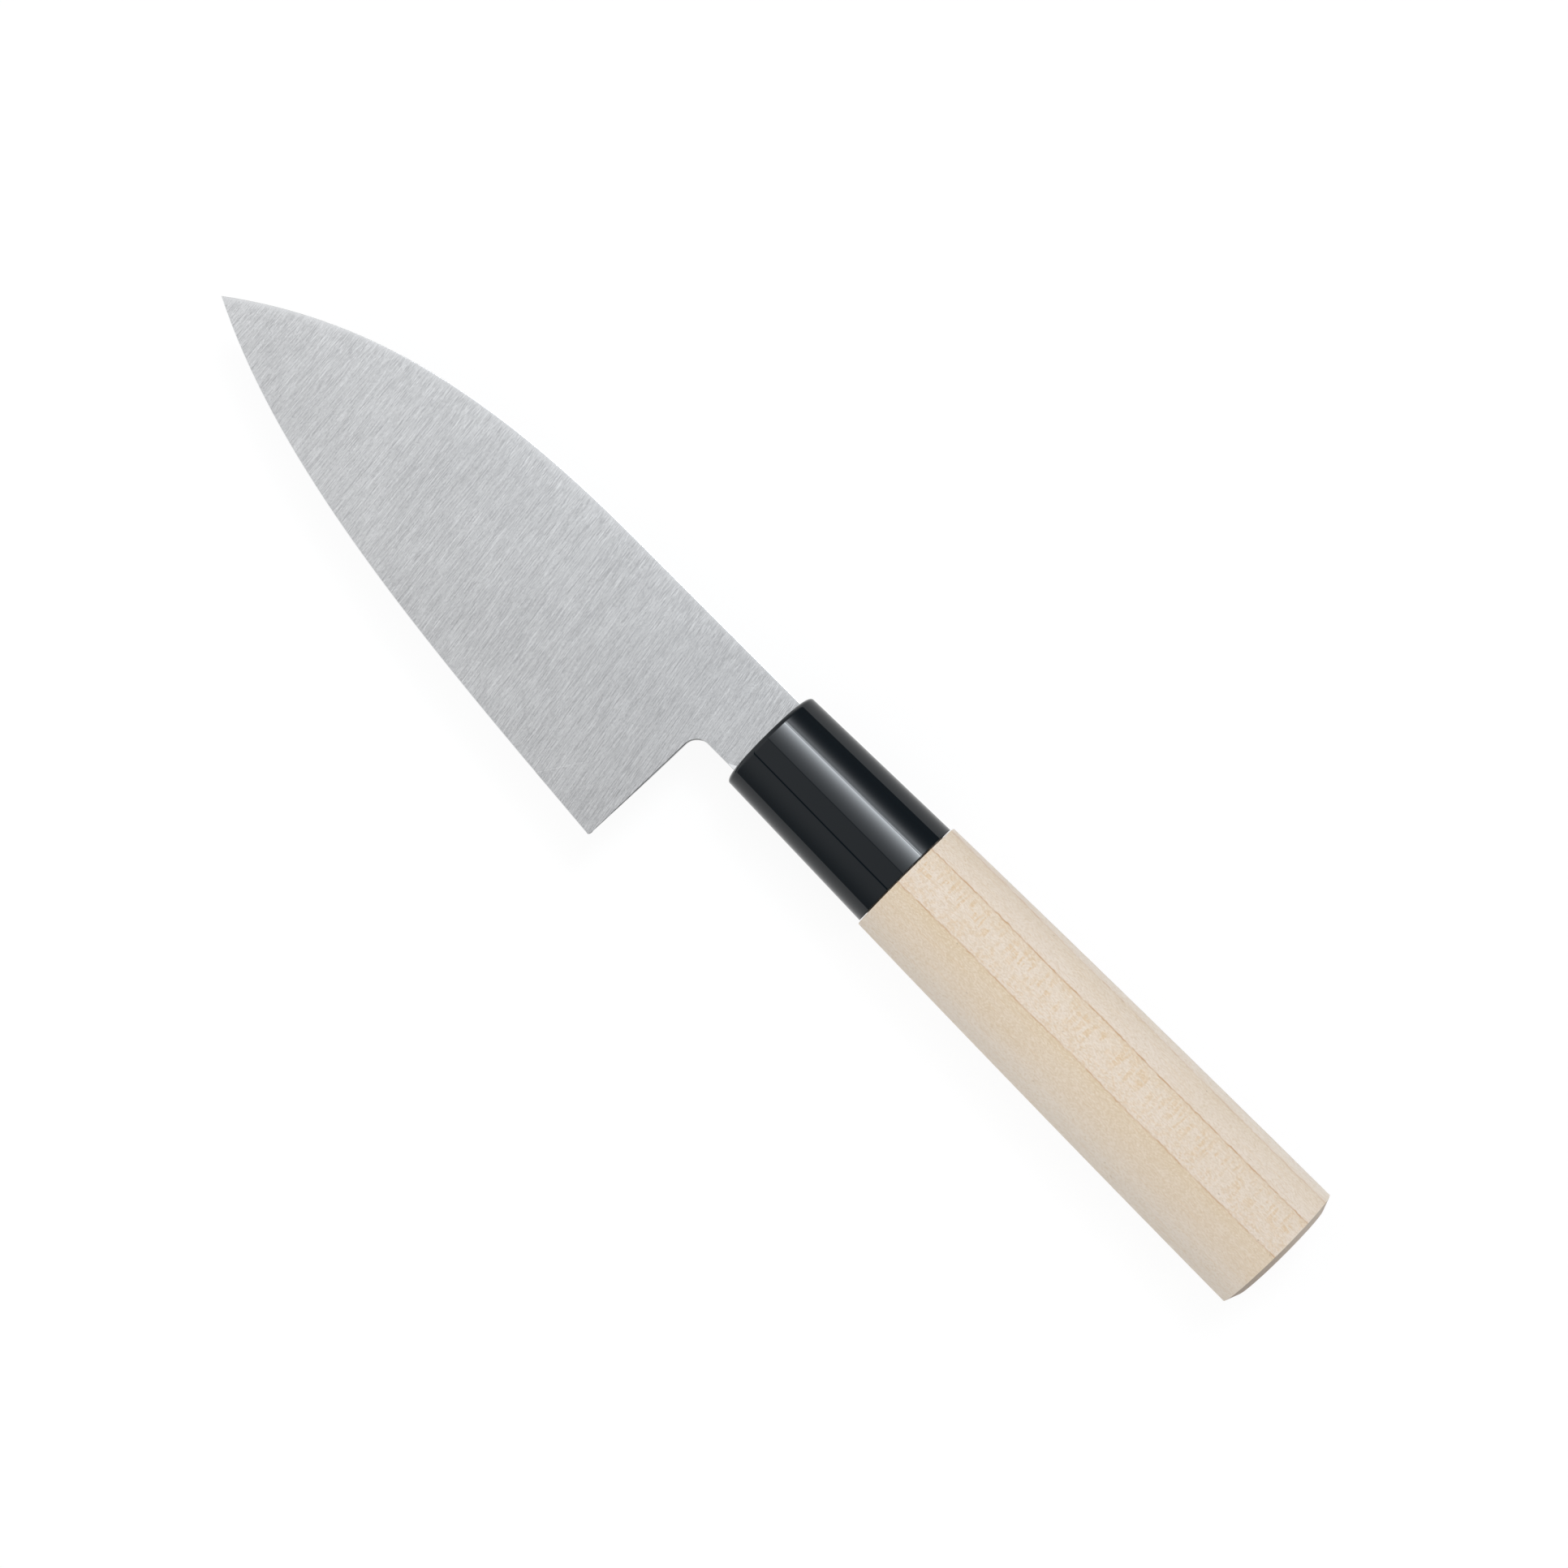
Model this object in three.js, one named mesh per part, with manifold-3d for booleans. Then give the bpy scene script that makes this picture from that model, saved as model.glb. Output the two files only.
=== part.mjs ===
// An ajikiri: a small single-bevel fish knife with a moulded ferrule and an oval magnolia grip.
// Millimetres. The handle's axis is X, with the ferrule's front at x = 0 and the tip towards -X.
// The spine is towards +Y, and the flat back of the blade, the ura, faces +Z.
import * as THREE from 'three';
import { mergeVertices } from 'three/addons/utils/BufferGeometryUtils.js';
import Module from 'manifold-3d';

// Blade, as seen on its flat back
const HEEL_TO_TIP = 103.05;
const NECK_LENGTH = 9.05;
const NECK_HEIGHT = 14.9;
const HEEL_DEPTH = 23.5;
const HEEL_LEAN = 0.5;
const HEEL_FOOT_RADIUS = 0.4;
const NOTCH_RADIUS = 2.6;
const TIP_DROP = 19.5;
const SPINE_STRAIGHT_SHARE = 0.28;
const SPINE_TIP_ANGLE = THREE.MathUtils.degToRad(36.4);
const SPINE_TIP_PULL = 0.36;
const SPINE_FLAT_PULL = 0.38;
const EDGE_TIP_ANGLE = THREE.MathUtils.degToRad(26.4);
const EDGE_HEEL_ANGLE = THREE.MathUtils.degToRad(4.5);
const EDGE_TIP_PULL = 0.29;
const EDGE_HEEL_PULL = 0.37;

// Blade, through its thickness
const SHEET_THICKNESS = 2.8;
const OMOTE_TAPER = 1.2;
const URA_TAPER = 0.2;
const EDGE_LAND = 0.25;
const BEVEL_WIDTH = 15;

// Tang, its socket in the grip, and the resin between them
const TANG_ROOT_HEIGHT = 8.4;
const TANG_ROOT_LENGTH = 6;
const TANG_END_HEIGHT = 4.6;
const TANG_SHARE = 0.6;
const SOCKET_MARGIN = 1.3;

// Ferrule
const FERRULE_LENGTH = 30.7;
const FERRULE_LIP = 1.9;
const FERRULE_FLARE = 1.55;
const FERRULE_WALL = 1.7;
const FERRULE_FRONT_WALL = 3;
const FERRULE_FRONT_ROUND = 0.5;
const FERRULE_REAR_ROUND = 0.3;

// Grip
const GRIP_LENGTH = 83.25;
const GRIP_STEP = 0.5;
const GRIP_FLARE = 2.2;
const GRIP_CROWN = 0.33;
const GRIP_FRONT_ROUND = 0.4;
const BUTT_BEVEL_LENGTH = 0.8;
const BUTT_BEVEL_INSET = 2.5;
const BUTT_DOME = 0.2;

// The oval that ferrule and grip share: thickness over height
const OVAL_RATIO = 0.79;

// Clearance left between pieces that touch
const FIT = 0.25;

// Fineness of the facets
const CURVE_STEPS = 36;
const OVAL_STEPS = 56;
const ROUND_STEPS = 5;
const GRIP_STEPS = 8;

// How far a cutter reaches past what it cuts
const OVERSHOOT = 4;

// Places that follow from the sizes
const heelX = -NECK_LENGTH;
const tipX = heelX - HEEL_TO_TIP;
const groundX = heelX / 2;
const spineY = NECK_HEIGHT / 2;
const neckY = -NECK_HEIGHT / 2;
const heelY = neckY - HEEL_DEPTH;
const tipY = spineY - TIP_DROP;
const uraZ = SHEET_THICKNESS / 2;
const omoteZ = -SHEET_THICKNESS / 2;
const shoulderX = FERRULE_FRONT_WALL;
const tenonX = FERRULE_FRONT_WALL + FIT;
const gripX = FERRULE_LENGTH + FIT;
const buttX = FERRULE_LENGTH + GRIP_LENGTH;
const tangTaperX = shoulderX + TANG_ROOT_LENGTH;
const tangEndX = shoulderX + TANG_SHARE * (buttX - shoulderX);
const ferruleFrontHeight = NECK_HEIGHT + 2 * FERRULE_LIP;
const ferruleRearHeight = ferruleFrontHeight + FERRULE_FLARE;
const gripFrontHeight = ferruleRearHeight + 2 * GRIP_STEP;

const wasm = await Module();
wasm.setup();

// A closed geometry as a solid that can be joined and cut
function solid(geometry) {
  const bare = geometry.clone();
  bare.deleteAttribute('normal');
  bare.deleteAttribute('uv');
  const merged = mergeVertices(bare, 1e-4);
  return new wasm.Manifold(new wasm.Mesh({
    numProp: 3,
    vertProperties: merged.attributes.position.array,
    triVerts: new Uint32Array(merged.index.array),
  }));
}

// A solid as a flat-shaded geometry
function geometryOf(body) {
  const mesh = body.getMesh();
  const indexed = new THREE.BufferGeometry();
  indexed.setAttribute('position', new THREE.BufferAttribute(mesh.vertProperties, 3));
  indexed.setIndex(new THREE.BufferAttribute(mesh.triVerts, 1));
  const geometry = indexed.toNonIndexed();
  geometry.computeVertexNormals();
  return geometry;
}

// A plate between two levels, cut to an outline in the XY plane
function plate(outline, bottom, top) {
  const geometry = new THREE.ExtrudeGeometry(outline, {
    depth: top - bottom,
    bevelEnabled: false,
    curveSegments: CURVE_STEPS,
  });
  return geometry.translate(0, 0, bottom);
}

// A closed skin over rings of points, each ring with the same count, closed by a fan at both ends
function loft(rings) {
  const count = rings[0].length;
  const points = rings.flat();
  const faces = [];
  for (let r = 0; r + 1 < rings.length; r += 1) {
    for (let i = 0; i < count; i += 1) {
      const a = r * count + i;
      const b = r * count + ((i + 1) % count);
      faces.push(a, b, a + count);
      faces.push(b, b + count, a + count);
    }
  }
  const last = (rings.length - 1) * count;
  for (let i = 1; i + 1 < count; i += 1) {
    faces.push(0, i + 1, i);
    faces.push(last, last + i, last + i + 1);
  }
  const geometry = new THREE.BufferGeometry().setFromPoints(points);
  geometry.setIndex(faces);
  return geometry;
}

// One ring of the handle's oval, square to the axis
function oval(x, height, inset = 0) {
  const ellipse = new THREE.EllipseCurve(0, 0, height / 2 - inset, (OVAL_RATIO * height) / 2 - inset);
  return Array.from({ length: OVAL_STEPS }, (_, i) => {
    const point = ellipse.getPoint(i / OVAL_STEPS);
    return new THREE.Vector3(x, point.x, point.y);
  });
}

const ferruleHeight = (x) => ferruleFrontHeight + (FERRULE_FLARE * x) / FERRULE_LENGTH;

function gripHeight(x) {
  const share = (x - FERRULE_LENGTH) / GRIP_LENGTH;
  return gripFrontHeight + GRIP_FLARE * share + 4 * GRIP_CROWN * share * (1 - share);
}

// The cutting edge, from the rounded foot of the heel to the tip
function edgeCurve() {
  const tipPull = EDGE_TIP_PULL * HEEL_TO_TIP;
  const heelPull = EDGE_HEEL_PULL * HEEL_TO_TIP;
  const footX = heelX - HEEL_FOOT_RADIUS;
  return new THREE.CubicBezierCurve(
    new THREE.Vector2(footX, heelY),
    new THREE.Vector2(
      footX - heelPull * Math.cos(EDGE_HEEL_ANGLE),
      heelY + heelPull * Math.sin(EDGE_HEEL_ANGLE),
    ),
    new THREE.Vector2(
      tipX + tipPull * Math.cos(EDGE_TIP_ANGLE),
      tipY - tipPull * Math.sin(EDGE_TIP_ANGLE),
    ),
    new THREE.Vector2(tipX, tipY),
  );
}

// The tang's sides and round end, grown by a margin, drawn from its root at a given x and back
function tangPath(path, rootX, margin) {
  const rootHalf = TANG_ROOT_HEIGHT / 2 + margin;
  const endHalf = TANG_END_HEIGHT / 2 + margin;
  const roundX = tangEndX - TANG_END_HEIGHT / 2;
  path.lineTo(rootX, -rootHalf);
  path.lineTo(tangTaperX, -rootHalf);
  path.lineTo(roundX, -endHalf);
  path.absarc(roundX, 0, endHalf, -Math.PI / 2, Math.PI / 2, false);
  path.lineTo(tangTaperX, rootHalf);
  path.lineTo(rootX, rootHalf);
}

// The stamped outline: edge, heel, notch, neck, tang and spine
function blankOutline() {
  const outline = new THREE.Shape();
  const edge = edgeCurve();
  const heelTopX = heelX + HEEL_LEAN;
  const curveLength = (1 - SPINE_STRAIGHT_SHARE) * HEEL_TO_TIP;
  const curveX = tipX + curveLength;
  outline.moveTo(tipX, tipY);
  outline.bezierCurveTo(edge.v2.x, edge.v2.y, edge.v1.x, edge.v1.y, edge.v0.x, edge.v0.y);
  outline.absarc(edge.v0.x, heelY + HEEL_FOOT_RADIUS, HEEL_FOOT_RADIUS, -Math.PI / 2, 0, false);
  outline.lineTo(heelTopX, neckY - NOTCH_RADIUS);
  outline.absarc(heelTopX + NOTCH_RADIUS, neckY - NOTCH_RADIUS, NOTCH_RADIUS, Math.PI, Math.PI / 2, true);
  outline.lineTo(shoulderX, neckY);
  tangPath(outline, shoulderX, 0);
  outline.lineTo(shoulderX, spineY);
  outline.lineTo(curveX, spineY);
  outline.bezierCurveTo(
    curveX - SPINE_FLAT_PULL * curveLength,
    spineY,
    tipX + SPINE_TIP_PULL * curveLength * Math.cos(SPINE_TIP_ANGLE),
    tipY + SPINE_TIP_PULL * curveLength * Math.sin(SPINE_TIP_ANGLE),
    tipX,
    tipY,
  );
  return outline;
}

// Levels of the two ground faces along the blade, from the middle of the neck to the tip
const groundShare = (x) => (groundX - x) / (groundX - tipX);
const uraLevel = (x) => uraZ - URA_TAPER * groundShare(x);
const omoteLevel = (x) => omoteZ + OMOTE_TAPER * groundShare(x);

// What thins one face of the blade from the neck to the tip, on the side given as +1 or -1
function taperCut(level, side) {
  const nearX = groundX + OVERSHOOT;
  const farX = tipX - OVERSHOOT;
  const outside = side * (SHEET_THICKNESS + OVERSHOOT);
  const profile = new THREE.Shape();
  profile.moveTo(farX, level(farX));
  profile.lineTo(nearX, level(nearX));
  profile.lineTo(nearX, outside);
  profile.lineTo(farX, outside);
  const width = spineY - heelY + 2 * OVERSHOOT;
  const wedge = new THREE.ExtrudeGeometry(profile, { depth: width, bevelEnabled: false });
  return wedge.rotateX(Math.PI / 2).translate(0, spineY + OVERSHOOT, 0);
}

// What the bevel, the kireba, takes off the omote side: one slope swept along the cutting edge
function bevelCut() {
  const edge = edgeCurve();
  const slope = (SHEET_THICKNESS - EDGE_LAND) / BEVEL_WIDTH;
  const reach = BEVEL_WIDTH + OVERSHOOT;
  const section = (point, along) => {
    const inward = new THREE.Vector2(along.y, -along.x);
    const edgeZ = uraLevel(point.x) - EDGE_LAND;
    const place = (distance, z) => {
      return new THREE.Vector3(point.x + distance * inward.x, point.y + distance * inward.y, z);
    };
    return [
      place(reach, edgeZ - reach * slope),
      place(reach, omoteZ - OVERSHOOT),
      place(-OVERSHOOT, omoteZ - OVERSHOOT),
      place(-OVERSHOOT, edgeZ + OVERSHOOT * slope),
    ];
  };
  const beyond = (share, distance) => {
    const along = edge.getTangent(share);
    return section(edge.getPoint(share).addScaledVector(along, distance), along);
  };
  const rings = [beyond(0, -OVERSHOOT)];
  for (let i = 0; i < CURVE_STEPS; i += 1) {
    rings.push(beyond((i + 0.5) / CURVE_STEPS, 0));
  }
  rings.push(beyond(1, OVERSHOOT));
  return loft(rings);
}

// Blade, neck and tang: one piece of sheet, thinned towards the tip and ground on one side
function bladeGeometry() {
  const blank = solid(plate(blankOutline(), omoteZ, uraZ));
  const ground = blank
    .subtract(solid(taperCut(uraLevel, 1)))
    .subtract(solid(taperCut(omoteLevel, -1)))
    .subtract(solid(bevelCut()));
  return geometryOf(ground);
}

// A solid that fills the tang's place in the grip, grown by a margin, from a given x inwards
function tangFill(fromX, margin) {
  const outline = new THREE.Shape();
  outline.moveTo(fromX, 0);
  tangPath(outline, fromX, margin);
  return solid(plate(outline, omoteZ - margin, uraZ + margin));
}

// Ferrule: a tapered oval cap with rounded ends, a slot for the neck and a bore for the tenon
function ferruleGeometry() {
  const rings = [];
  for (let i = 0; i <= ROUND_STEPS; i += 1) {
    const turn = (i / ROUND_STEPS) * (Math.PI / 2);
    const x = FERRULE_FRONT_ROUND * (1 - Math.cos(turn));
    rings.push(oval(x, ferruleHeight(x), FERRULE_FRONT_ROUND * (1 - Math.sin(turn))));
  }
  for (let i = 0; i <= ROUND_STEPS; i += 1) {
    const turn = (i / ROUND_STEPS) * (Math.PI / 2);
    const x = FERRULE_LENGTH - FERRULE_REAR_ROUND * (1 - Math.sin(turn));
    rings.push(oval(x, ferruleHeight(x), FERRULE_REAR_ROUND * (1 - Math.cos(turn))));
  }
  const boreEndX = FERRULE_LENGTH + OVERSHOOT;
  const bore = loft([
    oval(FERRULE_FRONT_WALL, ferruleHeight(FERRULE_FRONT_WALL), FERRULE_WALL),
    oval(boreEndX, ferruleHeight(boreEndX), FERRULE_WALL),
  ]);
  const slotLength = FERRULE_FRONT_WALL + 2 * OVERSHOOT;
  const slot = new THREE.BoxGeometry(slotLength, NECK_HEIGHT + 2 * FIT, SHEET_THICKNESS + 2 * FIT);
  const cap = solid(loft(rings)).subtract(solid(bore)).subtract(solid(slot));
  return geometryOf(cap);
}

// Grip: an oval that swells towards a bevelled, slightly domed butt, with a tenon and a blind socket
function gripGeometry() {
  const tenonInset = FERRULE_WALL + FIT;
  const bevelX = buttX - BUTT_DOME - BUTT_BEVEL_LENGTH;
  const frontX = gripX + GRIP_FRONT_ROUND;
  const rings = [
    oval(tenonX, ferruleHeight(tenonX), tenonInset),
    oval(gripX, ferruleHeight(gripX), tenonInset),
    oval(gripX, gripHeight(gripX), GRIP_FRONT_ROUND),
  ];
  for (let i = 0; i <= GRIP_STEPS; i += 1) {
    const x = THREE.MathUtils.lerp(frontX, bevelX, i / GRIP_STEPS);
    rings.push(oval(x, gripHeight(x)));
  }
  const endInset = OVAL_RATIO * gripHeight(buttX) / 2 - BUTT_BEVEL_INSET;
  for (let i = 0; i < ROUND_STEPS; i += 1) {
    const share = i / ROUND_STEPS;
    const x = buttX - BUTT_DOME * (1 - share) ** 2;
    rings.push(oval(x, gripHeight(buttX), BUTT_BEVEL_INSET + share * endInset));
  }
  const grip = solid(loft(rings)).subtract(tangFill(tenonX - OVERSHOOT, SOCKET_MARGIN));
  return geometryOf(grip);
}

// Resin: the sleeve that sets round the tang and holds it in the socket
function resinGeometry() {
  const sleeve = tangFill(tenonX, SOCKET_MARGIN - FIT).subtract(tangFill(tenonX - OVERSHOOT, FIT));
  return geometryOf(sleeve);
}

function piece(name, geometry, color, roughness, metalness) {
  const material = new THREE.MeshStandardMaterial({ color, roughness, metalness });
  const mesh = new THREE.Mesh(geometry, material);
  mesh.name = name;
  return mesh;
}

const knife = new THREE.Group();
knife.name = 'knife';
knife.add(
  piece('blade', bladeGeometry(), 0xc4c6c9, 0.34, 1),
  piece('ferrule', ferruleGeometry(), 0x131417, 0.18, 0),
  piece('handle', gripGeometry(), 0xe4d4c1, 0.62, 0),
  piece('tang_resin', resinGeometry(), 0xb8a67e, 0.5, 0),
);

// The knife lies on its side: the origin is under the middle of its box
const box = new THREE.Box3().setFromObject(knife);
const middle = box.getCenter(new THREE.Vector3());
knife.position.set(-middle.x, -middle.y, -box.min.z);

const root = new THREE.Group();
root.add(knife);

export default root;
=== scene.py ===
"""Ajikiri knife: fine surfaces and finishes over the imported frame, in a plain studio."""

import logging
import math
from collections.abc import Sequence
from dataclasses import dataclass
from enum import Enum
from typing import Any

import bpy
from mathutils import Matrix, Vector


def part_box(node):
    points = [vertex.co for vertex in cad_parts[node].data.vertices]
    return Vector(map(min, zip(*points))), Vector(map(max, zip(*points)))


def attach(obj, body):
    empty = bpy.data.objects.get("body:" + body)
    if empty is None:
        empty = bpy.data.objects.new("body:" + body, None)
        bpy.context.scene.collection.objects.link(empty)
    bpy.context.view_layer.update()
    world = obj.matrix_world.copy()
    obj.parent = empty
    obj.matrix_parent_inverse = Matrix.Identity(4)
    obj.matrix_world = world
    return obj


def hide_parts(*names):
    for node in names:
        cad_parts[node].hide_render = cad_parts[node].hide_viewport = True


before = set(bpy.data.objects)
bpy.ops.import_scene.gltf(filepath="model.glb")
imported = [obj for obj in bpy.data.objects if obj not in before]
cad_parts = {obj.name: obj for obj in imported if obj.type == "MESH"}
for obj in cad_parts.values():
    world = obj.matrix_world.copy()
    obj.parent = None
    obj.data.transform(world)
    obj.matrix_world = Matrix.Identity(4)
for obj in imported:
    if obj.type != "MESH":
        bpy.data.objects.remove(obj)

LOG = logging.getLogger("ajikiri")
MM = 0.001
DEGREES = 180.0 / math.pi
MERGE_DISTANCE = 1e-7
START_SPREAD = 50.0
MIX_COLOUR_SOCKETS = (6, 7)
WHITE = (1.0, 1.0, 1.0, 1.0)
Triple = tuple[float, float, float]
Colour = Triple
Span = tuple[float, float]


class Part(Enum):
    """The knife's separate pieces, by their names in the frame."""

    BLADE = "blade"
    FERRULE = "ferrule"
    HANDLE = "handle"
    RESIN = "tang_resin"


class Value:
    """A shader socket that takes part in arithmetic."""

    def __init__(self, tree: "ShaderTree", socket: bpy.types.NodeSocket) -> None:
        """Wraps one output socket of a tree."""
        self.tree = tree
        self.socket = socket

    def math(self, operation: str, *others: "Value | float", swapped: bool = False) -> "Value":
        """Adds a Math node.

        Args:
            operation: The Math node's operation.
            others: The second and third operands, where the operation has them.
            swapped: Whether this value is the second operand.

        Returns:
            The node's result.
        """
        operands: list[Any] = [self, *others]
        if swapped:
            operands.reverse()
        return self.tree.node("ShaderNodeMath", {"operation": operation}, dict(enumerate(operands)))

    def __add__(self, other: "Value | float") -> "Value":
        """Sum."""
        return self.math("ADD", other)

    __radd__ = __add__

    def __sub__(self, other: "Value | float") -> "Value":
        """Difference."""
        return self.math("SUBTRACT", other)

    def __rsub__(self, other: float) -> "Value":
        """Difference from a number."""
        return self.math("SUBTRACT", other, swapped=True)

    def __mul__(self, other: "Value | float") -> "Value":
        """Product."""
        return self.math("MULTIPLY", other)

    __rmul__ = __mul__

    def __truediv__(self, other: "Value | float") -> "Value":
        """Quotient."""
        return self.math("DIVIDE", other)

    def __rtruediv__(self, other: float) -> "Value":
        """Quotient of a number."""
        return self.math("DIVIDE", other, swapped=True)

    def __gt__(self, other: "Value | float") -> "Value":
        """One where this value is the greater, otherwise zero."""
        return self.math("GREATER_THAN", other)

    def __abs__(self) -> "Value":
        """Size without sign."""
        return self.math("ABSOLUTE")

    def exp(self) -> "Value":
        """The exponential."""
        return self.math("EXPONENT")

    def at_most(self, limit: "Value | float") -> "Value":
        """The smaller of this value and a limit."""
        return self.math("MINIMUM", limit)

    def at_least(self, limit: "Value | float") -> "Value":
        """The greater of this value and a limit."""
        return self.math("MAXIMUM", limit)

    def step(self, low: float, high: float) -> "Value":
        """A smooth step.

        Args:
            low: Where the step begins, at zero.
            high: Where it ends, at one. A high below low gives a falling step.

        Returns:
            The step, from zero to one.
        """
        settings = {"interpolation_type": "SMOOTHSTEP"}
        if high > low:
            return self.tree.node("ShaderNodeMapRange", settings, {0: self, 1: low, 2: high})
        return self.tree.node("ShaderNodeMapRange", settings, {0: self, 1: high, 2: low, 3: 1.0, 4: 0.0})

    def bell(self, centre: "Value | float", width: "Value | float") -> "Value":
        """A soft bump: one at its centre, about a third at its width from there."""
        away = (self - centre) / width
        return (away * away * -1.0).exp()


Place = tuple[Value, Value, Value]


@dataclass(frozen=True)
class Mottle:
    """A layer of noise: cells to a unit, finer layers and their weight, a shift, and the span that counts."""

    cells: Triple
    detail: float = 2.0
    roughness: float = 0.5
    shift: Triple = (0.0, 0.0, 0.0)
    span: Span | None = None


@dataclass(frozen=True)
class Strokes:
    """A set of hair-thin strokes: how many to a unit along and across, and what tells it from other sets."""

    along: float
    across: float
    seed: float = 0.0


class ShaderTree:
    """A node tree that is written as expressions."""

    def __init__(self, tree: bpy.types.NodeTree) -> None:
        """Empties the tree of a material or a world."""
        self.tree = tree
        tree.nodes.clear()

    def node(
        self,
        kind: str,
        settings: dict[str, Any] | None = None,
        inputs: dict[int | str, Any] | None = None,
        output: int | str = 0,
    ) -> Value:
        """Adds one node.

        Args:
            kind: The node's type.
            settings: Its own settings, such as a Math node's operation, which are set first.
            inputs: Values or links of its sockets, by name or number.
            output: The output that is wanted.

        Returns:
            That output.
        """
        made = self.tree.nodes.new(kind)
        for key, setting in (settings or {}).items():
            setattr(made, key, setting)
        for key, given in (inputs or {}).items():
            socket = made.inputs[key]
            if isinstance(given, Value):
                self.tree.links.new(given.socket, socket)
            else:
                socket.default_value = given
        return Value(self, made.outputs[output])

    def end(self, kind: str, surface: Value) -> None:
        """Adds the output node, which shows a shader."""
        made = self.tree.nodes.new(kind)
        self.tree.links.new(surface.socket, made.inputs["Surface"])

    def surface(self, inputs: dict[int | str, Any]) -> None:
        """Ends a material with one surface of the given inputs."""
        self.end("ShaderNodeOutputMaterial", self.node("ShaderNodeBsdfPrincipled", inputs=inputs))

    def split(self, vector: Value) -> Place:
        """Takes a vector apart.

        Args:
            vector: The vector.

        Returns:
            Its three parts.
        """
        x = self.node("ShaderNodeSeparateXYZ", inputs={0: vector}, output=0)
        outputs = x.socket.node.outputs
        return x, Value(self, outputs[1]), Value(self, outputs[2])

    def place(self, origin: Vector) -> Place:
        """The surface's place on the object.

        Args:
            origin: Where the place is counted from, in metres.

        Returns:
            X, Y and Z in millimetres.
        """
        spot = self.node("ShaderNodeTexCoord", output="Object")
        x, y, z = self.split(spot)
        return (x - origin.x) * (1 / MM), (y - origin.y) * (1 / MM), (z - origin.z) * (1 / MM)

    def mottle(self, layer: Mottle, *places: Value | float) -> Value:
        """Noise over a surface.

        Args:
            layer: The layer of noise.
            places: Up to three coordinates. The layer's shift stands in for those that are left out.

        Returns:
            The noise, about zero to one, or how far it lies along the layer's span.
        """
        spot: dict[int, Any] = dict(enumerate(layer.shift))
        for number, place in enumerate(places):
            scaled = place * layer.cells[number]
            spot[number] = scaled + layer.shift[number] if layer.shift[number] else scaled
        inputs = {
            "Vector": self.node("ShaderNodeCombineXYZ", inputs=spot),
            "Scale": 1.0,
            "Detail": layer.detail,
            "Roughness": layer.roughness,
        }
        noise = self.node("ShaderNodeTexNoise", {"noise_dimensions": "3D"}, inputs, output=0)
        return noise.step(*layer.span) if layer.span else noise

    def chance(self, x: Value | float, y: Value | float, z: Value | float) -> Value:
        """A random value for each cell of one unit.

        Args:
            x: First coordinate.
            y: Second coordinate.
            z: Third coordinate.

        Returns:
            The value, from zero to one, the same all over a cell.
        """
        cell = [part.math("FLOOR") if isinstance(part, Value) else part for part in (x, y, z)]
        inputs = {"Vector": self.node("ShaderNodeCombineXYZ", inputs=dict(enumerate(cell)))}
        return self.node("ShaderNodeTexWhiteNoise", {"noise_dimensions": "3D"}, inputs, output="Value")

    def hairs(self, strokes: Strokes, along: Value, across: Value, depth: Value | float = 0.0) -> Value:
        """Hair-thin strokes, each with its own tone and its own start.

        Args:
            strokes: The set of strokes.
            along: Place along the strokes.
            across: Place across them.
            depth: Place across them in the third direction.

        Returns:
            The strokes' tone, from minus a half to a half.
        """
        column = across * strokes.across + strokes.seed
        row = depth * strokes.across
        start = self.chance(column, strokes.seed, row) * START_SPREAD
        return self.chance(column, along * strokes.along + start, row) - 0.5

    def blend(self, first: Value | Colour, second: Value | Colour, share: Value) -> Value:
        """Mixes two colours.

        Args:
            first: The colour at share zero.
            second: The colour at share one.
            share: The second colour's share.

        Returns:
            The mixed colour.
        """
        colours = [colour if isinstance(colour, Value) else (*colour, 1.0) for colour in (first, second)]
        inputs = {0: share, **dict(zip(MIX_COLOUR_SOCKETS, colours))}
        return self.node("ShaderNodeMix", {"data_type": "RGBA", "clamp_factor": True}, inputs, output=2)

    def bump(self, height: Value, distance: float, strength: float) -> Value:
        """A normal bumped by a height, of which one stands for a distance in metres."""
        inputs = {"Height": height, "Distance": distance, "Strength": strength}
        return self.node("ShaderNodeBump", inputs=inputs)


def new_material(name: str) -> tuple[bpy.types.Material, ShaderTree]:
    """Makes an empty material.

    Args:
        name: The material's name.

    Returns:
        The material and its tree.
    """
    material = bpy.data.materials.new(name)
    material.use_nodes = True
    return material, ShaderTree(material.node_tree)


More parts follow.
